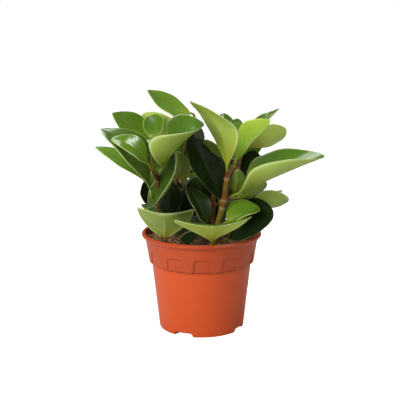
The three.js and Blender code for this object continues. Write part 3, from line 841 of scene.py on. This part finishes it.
def leafy_stem(node, branches, draw):
    """The two pieces that replace a stem's node: its leaves with their stalks, and its branches."""
    blades, stalks = [], []
    for index, branch in enumerate(branches):
        rows = list(branch["leaves"])
        if "crown" in branch:
            rows += crown_rows(branch["crown"], branch["path"])
        blades.extend(leaf_part(row, branch["path"], draw) for row in rows)
        stalks.append(branch_part(branch, rows, rooted=index == 0))
    side = node.removeprefix("stem_")
    for kind, parts, material in (("leaves", blades, LEAF), ("stalk", stalks, STEM)):
        points, faces, attributes = joined(parts)
        piece = make_mesh(f"{kind}_{side}", points, faces, material, attributes)
        place_piece(piece, "leaf", node)


# Pot

def radius_between(low, high, height):
    return mix(low[0], high[0], (height - low[1]) / (high[1] - low[1]))


def arc(radius, height, size, start, end, steps):
    angles = np.radians(np.linspace(start, end, steps + 1))
    return [(radius + size * math.cos(a), height + size * math.sin(a)) for a in angles]


def line(start, end, steps):
    """Points from start up to, but not at, end."""
    return [(mix(start[0], end[0], i / steps), mix(start[1], end[1], i / steps)) for i in range(steps)]


def pot_outline():
    """The pot's wall from the middle of its underside, up the outside, over the rim and down inside."""
    foot = FOOT_RADIUS
    step = CORNER_ROUND
    bead_height = POT_HEIGHT - BEAD_ROUND
    collar_inner_top = (COLLAR_TOP[0] - COLLAR_WALL, COLLAR_TOP[1])
    collar_inner_foot = (COLLAR_FOOT[0] - COLLAR_WALL, COLLAR_FOOT[1])
    body_inner_top = (BODY_TOP[0] - BODY_WALL, BODY_TOP[1])
    floor_corner = (radius_between((foot, 0), BODY_TOP, FLOOR_TOP) - BODY_WALL, FLOOR_TOP)
    outline = [(0.0, 0.0)]
    outline += line((1.0, 0.0), (PAD_RADIUS - step, 0.0), 4)
    outline += arc(PAD_RADIUS - step, step, step, -90, 0, 3)
    outline += line((PAD_RADIUS, RAISED_FLOOR), (FOOT_INNER_RADIUS, RAISED_FLOOR), 14)
    outline += arc(FOOT_INNER_RADIUS + step, step, step, 180, 270, 3)
    outline += line((FOOT_INNER_RADIUS + 2 * step, 0.0), (foot - FOOT_ROUND, 0.0), 8)
    outline += arc(foot - FOOT_ROUND, FOOT_ROUND, FOOT_ROUND, -90, 0, 5)
    outline += line((radius_between((foot, 0), BODY_TOP, 2.0), 2.0), (BODY_TOP[0] - 0.1, BODY_TOP[1] - 1), 30)
    outline += arc(BODY_TOP[0] + step, BODY_TOP[1] - step, step, 180, 100, 4)
    outline += arc(COLLAR_FOOT[0] - step, COLLAR_FOOT[1] + 0.1, step, -75, 0, 4)
    collar_start = (COLLAR_FOOT[0] + 0.1, COLLAR_FOOT[1] + 0.8)
    fine_top = (radius_between(COLLAR_FOOT, COLLAR_TOP, FINE_ROWS_TOP), FINE_ROWS_TOP)
    outline += line(collar_start, fine_top, 30)
    outline += line(fine_top, COLLAR_TOP, 5)
    outline += [COLLAR_TOP]
    outline += arc(BEAD_RADIUS, bead_height, BEAD_ROUND, -60, 180, 18)
    outline += [(collar_inner_top[0] + 0.5, collar_inner_top[1] + 1.5)]
    outline += line(collar_inner_top, collar_inner_foot, 6)
    outline += line(collar_inner_foot, body_inner_top, 2)
    outline += line(body_inner_top, floor_corner, 6)
    outline += line(floor_corner, (0.0, FLOOR_TOP), 8)
    outline += [(0.0, FLOOR_TOP)]
    return np.array(outline)


def pot_angles():
    """Angles round the pot, close together at the sides of the windows."""
    period = 360 / WINDOWS
    half = math.degrees((WINDOW_WIDTH / 2 + WINDOW_FLARE / 2) / BODY_TOP[0])
    fine = np.arange(-2.2, 2.21, 0.4)
    inner = np.linspace(-half + 2.8, half - 2.8, 8)
    outer = np.linspace(half + 2.8, period - half - 2.8, 5)
    one = np.concatenate([-half + fine, inner, half + fine, outer])
    return np.sort(np.concatenate([WINDOW_MIDDLE + k * period + one for k in range(WINDOWS)]) % 360)


def window_distance(angle, radius, height):
    """How far a point of the collar is outside the outline of the nearest window."""
    period = 360 / WINDOWS
    turn = (angle - WINDOW_MIDDLE + period / 2) % period - period / 2
    x = np.abs(np.radians(turn)) * radius
    wall = WINDOW_WIDTH / 2 + WINDOW_FLARE * np.clip((WINDOW_TOP - height) / (WINDOW_TOP - WINDOW_FOOT), 0, 1)
    dx = x - (wall - WINDOW_ROUND)
    dz = height - (WINDOW_TOP - WINDOW_ROUND)
    return np.hypot(np.maximum(dx, 0), np.maximum(dz, 0)) + np.minimum(np.maximum(dx, dz), 0) - WINDOW_ROUND


def notch_share(angle, radius):
    """1 inside a notch of the foot ring, 0 beside it."""
    period = 360 / NOTCHES
    turn = (angle - NOTCH_START + period / 2) % period - period / 2
    x = np.abs(np.radians(turn)) * radius
    return smooth(NOTCH_WIDTH / 2 + NOTCH_FLARE, NOTCH_WIDTH / 2, x)


def pot_piece():
    """The pot: its outline turned round the axis, with windows, notches and drain holes."""
    outline = pot_outline()
    angles = pot_angles()
    radius, angle = np.meshgrid(outline[:, 0], angles, indexing="ij")
    height = np.broadcast_to(outline[:, 1][:, None], radius.shape)
    # Windows: only the outer wall of the collar moves in
    outer_wall = (radius > COLLAR_FOOT[0] - 1.0) & (height > WINDOW_FOOT) & (height < WINDOW_TOP + 1)
    outside = window_distance(angle, COLLAR_FOOT[0], height)
    radius -= np.where(outer_wall, WINDOW_DEPTH * smooth(WINDOW_EDGE, -WINDOW_EDGE, outside), 0)
    # Painted shade darkens the windows' edges, under the bead and under the collar's step
    painted_shade = np.where(outer_wall, WINDOW_PAINTED_SHADE * np.exp(-((outside + CREASE / 2) / CREASE) ** 2), 0)
    outer_face = radius > BODY_TOP[0] - 0.6
    under_bead = np.exp(-((height - COLLAR_TOP[1] - 1.2) / 1.1) ** 2) * (radius < BEAD_RADIUS)
    under_step = np.exp(-((height - BODY_TOP[1]) / 0.9) ** 2)
    painted_shade = np.maximum(painted_shade, np.where(outer_face, np.maximum(under_bead, under_step), 0))
    # Notches: the underside and edge of the foot ring rise to the raised floor
    under = (radius > FOOT_INNER_RADIUS - 0.1) & (height < RAISED_FLOOR)
    share = notch_share(angle, FOOT_RADIUS)
    height = np.where(under, np.maximum(height, RAISED_FLOOR * share), height)
    turn = np.radians(angle)
    points = np.stack([radius * np.sin(turn), -radius * np.cos(turn), height], -1)
    # The inside starts a little past the top of the bead
    inner_start = int(np.argmax(outline[:, 1])) + 4
    inside = np.broadcast_to((np.arange(len(outline)) > inner_start)[:, None], radius.shape).astype(float)
    attributes = {"pot_inside": inside.ravel(), "pot_painted_shade": painted_shade.ravel()}
    piece = make_mesh("pot_shell", points.reshape(-1, 3), wall_faces(*radius.shape), PLASTIC, attributes)
    mend_axis(piece)
    cut_drains(piece)
    place_piece(piece, "pot_plastic", "pot")


def mend_axis(piece):
    """Joins the many points on the axis into one."""
    work = bmesh.new()
    work.from_mesh(piece.data)
    bmesh.ops.remove_doubles(work, verts=work.verts, dist=0.00002)
    bmesh.ops.recalc_face_normals(work, faces=work.faces)
    work.to_mesh(piece.data)
    work.free()


def cut_drains(piece):
    """Cuts the round drain holes through the floor."""
    tools = []
    for i in range(NOTCHES):
        turn = math.radians(NOTCH_START + 360 / NOTCHES * i)
        curve = [np.array((DRAIN_CIRCLE * math.sin(turn), -DRAIN_CIRCLE * math.cos(turn), z))
                 for z in (-FLOOR_TOP, 2 * FLOOR_TOP)]
        tools.append((*tube(curve, [DRAIN_RADIUS] * 2, DRAIN_SIDES), {}))
    points, faces, _ = joined(tools)
    tool = make_mesh("drain_tool", points, faces, PLASTIC)
    cut = piece.modifiers.new("drains", "BOOLEAN")
    cut.object = tool
    cut.operation = "DIFFERENCE"
    cut.solver = "EXACT"
    apply_modifiers(piece)
    bpy.data.objects.remove(tool)


def apply_modifiers(piece):
    evaluated = piece.evaluated_get(bpy.context.evaluated_depsgraph_get())
    mesh = bpy.data.meshes.new_from_object(evaluated)
    piece.modifiers.clear()
    old = piece.data
    piece.data = mesh
    bpy.data.meshes.remove(old)


# Soil

def soil_height(x, y):
    """The soil's top as on the model."""
    heap = HEAPS[0] * np.sin(x / HEAPS[1] + 1) * np.cos(y / HEAPS[1])
    ripple = RIPPLES[0] * np.sin((x - 2 * y) / RIPPLES[1])
    return SOIL_TOP + heap + ripple


def rough(x, y, size, seed):
    """Smooth chance from -1 to 1 with lumps of a size."""
    return noise.noise(Vector((x / size, y / size, seed)))


def soil_heap(x, y):
    """The mix lies a little higher at the left, most of all towards the front."""
    return SOIL_HEAP * float(smooth(*SOIL_HEAP_RANGE, x + SOIL_HEAP_LEAN * y))


def soil_surface(x, y):
    """The soil's top with its crumbly grain, lower against the wall."""
    grain = sum(height * rough(x, y, size, seed) for seed, (height, size) in enumerate(GRAIN, 1))
    drop = SOIL_EDGE_DROP * float(smooth(*SOIL_EDGE, math.hypot(x, y)))
    return float(soil_height(x, y)) + soil_heap(x, y) + grain - drop


def soil_piece(draw):
    """The plug of mix, finely divided on top, with crumbs on it."""
    edge_height = SOIL_TOP - SOIL_EDGE_DROP
    wall = [
        (radius_between((FOOT_RADIUS, 0), BODY_TOP, FLOOR_TOP) - BODY_WALL - SOIL_GAP, FLOOR_TOP + SOIL_GAP),
        (BODY_TOP[0] - BODY_WALL - SOIL_GAP, BODY_TOP[1]),
        (COLLAR_FOOT[0] - COLLAR_WALL - SOIL_GAP, COLLAR_FOOT[1]),
        (radius_between(COLLAR_FOOT, COLLAR_TOP, edge_height) - COLLAR_WALL - SOIL_GAP, edge_height),
    ]
    outline = [(0.5, FLOOR_TOP + SOIL_GAP)] + line(wall[0], wall[1], 4) + wall[1:3]
    angles = np.linspace(0, 2 * math.pi, SOIL_SIDES, endpoint=False)
    points = []
    for radius, height in outline:
        points.extend((radius * math.sin(a), -radius * math.cos(a), height) for a in angles)
    for radius in np.linspace(wall[3][0], 0.4, SOIL_RINGS):
        for a in angles:
            x, y = radius * math.sin(a), -radius * math.cos(a)
            points.append((x, y, soil_surface(x, y)))
    rings = len(outline) + SOIL_RINGS
    faces = wall_faces(rings, SOIL_SIDES)
    faces.append(tuple(reversed(range(SOIL_SIDES))))
    faces.append(tuple(range((rings - 1) * SOIL_SIDES, rings * SOIL_SIDES)))
    body = (np.array(points), faces, {"crumb_tone": np.zeros(len(points))})
    crumbs = [crumb(draw) for _ in range(CRUMBS)]
    points, faces, attributes = joined([body] + crumbs)
    piece = make_mesh("soil_mix", points, faces, SOIL, attributes)
    place_piece(piece, "soil", "soil")


def ball(steps, sides):
    """A unit ball of rings."""
    points = []
    for i in range(steps + 1):
        polar = math.pi * (0.02 + 0.96 * i / steps)
        radius, height = math.sin(polar), -math.cos(polar)
        for k in range(sides):
            angle = -2 * math.pi * k / sides
            points.append((radius * math.cos(angle), radius * math.sin(angle), height))
    return np.array(points), ring_faces(steps + 1, sides)


BALL = ball(5, 8)


def crumb(draw):
    """An irregular crumb of bark or peat, half sunk in the soil."""
    distance = CRUMB_SPREAD * math.sqrt(draw.random())
    turn = draw.random() * 2 * math.pi
    x, y = distance * math.cos(turn), distance * math.sin(turn)
    size = min(mix(*CRUMB_SIZE, draw.random() ** 2), CRUMB_LIMIT - distance)
    stretch = np.array([size * mix(0.8, 1.6, draw.random()), size, size * mix(0.45, 0.9, draw.random())])
    points, faces = BALL
    seed = Vector((draw.random() * 50, draw.random() * 50, draw.random() * 50))
    lumps = np.array([1 + 0.55 * noise.noise(Vector(p) * 1.3 + seed) for p in points])
    spin = draw.random() * 2 * math.pi
    along, across, up = (points * lumps[:, None] * stretch).T
    cosine, sine = math.cos(spin), math.sin(spin)
    turned = np.stack([along * cosine - across * sine, along * sine + across * cosine, up], 1)
    centre = np.array((x, y, soil_surface(x, y) + 0.25 * size))
    tone = draw.random() ** 2
    return turned + centre, faces, {"crumb_tone": np.full(len(points), tone)}


def fibre_piece(draw):
    """Loose roots and fibres that lie in low arches over the soil."""
    parts = []
    for i in range(FIBRES + LEFT_FIBRES):
        distance = FIBRE_SPREAD * math.sqrt(draw.random())
        turn = draw.random() * 2 * math.pi
        if i >= FIBRES:
            distance = mix(*LEFT_DISTANCE, draw.random())
            turn = math.radians(mix(*LEFT_TURN, draw.random()))
        heading = draw.random() * 2 * math.pi
        length = mix(*FIBRE_LENGTH, draw.random())
        bow = mix(*FIBRE_BOW, draw.random())
        hump = mix(*FIBRE_HUMP, draw.random() ** 2)
        x, y = distance * math.cos(turn), distance * math.sin(turn)
        curve = []
        for t in np.linspace(-0.5, 0.5, FIBRE_POINTS):
            px = x + length * t * math.cos(heading) - bow * (0.25 - t * t) * 4 * math.sin(heading)
            py = y + length * t * math.sin(heading) + bow * (0.25 - t * t) * 4 * math.cos(heading)
            reach = math.hypot(px, py)
            if reach > FIBRE_LIMIT:
                px, py = px * FIBRE_LIMIT / reach, py * FIBRE_LIMIT / reach
            lift = hump * math.cos(math.pi * t) - 0.3 + 0.6 * rough(px, py, 4.0, 9.0)
            curve.append(np.array((px, py, float(soil_height(px, py)) + soil_heap(px, py) + lift + 0.6)))
        thick = mix(*FIBRE_RADIUS, draw.random() ** 2)
        radii = [thick * mix(1.0, 0.5, k / (FIBRE_POINTS - 1)) for k in range(FIBRE_POINTS)]
        parts.append((*tube(curve, radii, FIBRE_SIDES, FIBRE_SIDE), {}))
    for root in ROOTS:
        curve = spline(root, 8)
        radii = np.linspace(*ROOT_RADIUS, len(curve))
        parts.append((*tube(curve, radii, FIBRE_SIDES, FIBRE_SIDE), {}))
    points, faces, _ = joined(parts)
    piece = make_mesh("soil_fibres", points, faces, FIBRE)
    place_piece(piece, "soil")


# Stage

def build_stage():
    corners = ((-1, -1), (1, -1), (1, 1), (-1, 1))
    points = [(x * FLOOR_SIZE, y * FLOOR_SIZE, 0) for x, y in corners]
    floor = make_mesh("floor", points, [(0, 1, 2, 3)], floor_material())

    camera = bpy.data.objects.new("camera", bpy.data.cameras.new("camera"))
    camera.data.sensor_width = CAMERA_SENSOR
    camera.data.lens = CAMERA_LENS
    camera.data.clip_end = CAMERA_REACH
    camera.location = Vector(CAMERA_PLACE) * MM
    camera.rotation_euler = (math.radians(90 - CAMERA_DOWN), 0, 0)
    bpy.context.scene.collection.objects.link(camera)
    bpy.context.scene.camera = camera

    for name, place, (wide, high), power in LIGHTS:
        lamp = bpy.data.lights.new(name, "AREA")
        lamp.energy = power
        lamp.shape = "RECTANGLE"
        lamp.size = wide * MM
        lamp.size_y = high * MM
        holder = bpy.data.objects.new(name, lamp)
        holder.location = Vector(place) * MM
        aim = Vector(LIGHTS_AIM) * MM - holder.location
        holder.rotation_euler = aim.to_track_quat("-Z", "Y").to_euler()
        # The strip only draws highlights; the key only gives light
        holder.visible_diffuse = name != "strip"
        holder.visible_glossy = name != "key"
        bpy.context.scene.collection.objects.link(holder)

    # The backdrop is white to the eye, dimmer in reflections, and lights the plant like a pale room
    world = bpy.data.worlds.new("studio")
    bpy.context.scene.world = world
    world.use_nodes = True
    tree = world.node_tree
    tree.nodes.clear()
    path = tree.nodes.new("ShaderNodeLightPath")
    gloss = tree.nodes.new("ShaderNodeMix")
    seen = tree.nodes.new("ShaderNodeMix")
    backdrop = tree.nodes.new("ShaderNodeBackground")
    out = tree.nodes.new("ShaderNodeOutputWorld")
    gloss.inputs[2].default_value = ROOM_LIGHT
    gloss.inputs[3].default_value = ROOM_GLOSS
    seen.inputs[3].default_value = 1.0
    backdrop.inputs["Color"].default_value = (1.0, 1.0, 1.0, 1.0)
    tree.links.new(path.outputs["Is Glossy Ray"], gloss.inputs["Factor"])
    tree.links.new(path.outputs["Is Camera Ray"], seen.inputs["Factor"])
    tree.links.new(gloss.outputs[0], seen.inputs[2])
    tree.links.new(seen.outputs[0], backdrop.inputs["Strength"])
    tree.links.new(backdrop.outputs[0], out.inputs["Surface"])

    settings = bpy.context.scene.view_settings
    settings.view_transform = "Standard"
    settings.look = "None"


build_stage()
pot_piece()
soil_piece(random.Random(SEED))
fibre_piece(random.Random(SEED + 1))
leaf_draw = random.Random(SEED + 2)
for stem_name, stem_branches in STEMS.items():
    leafy_stem(stem_name, stem_branches, leaf_draw)
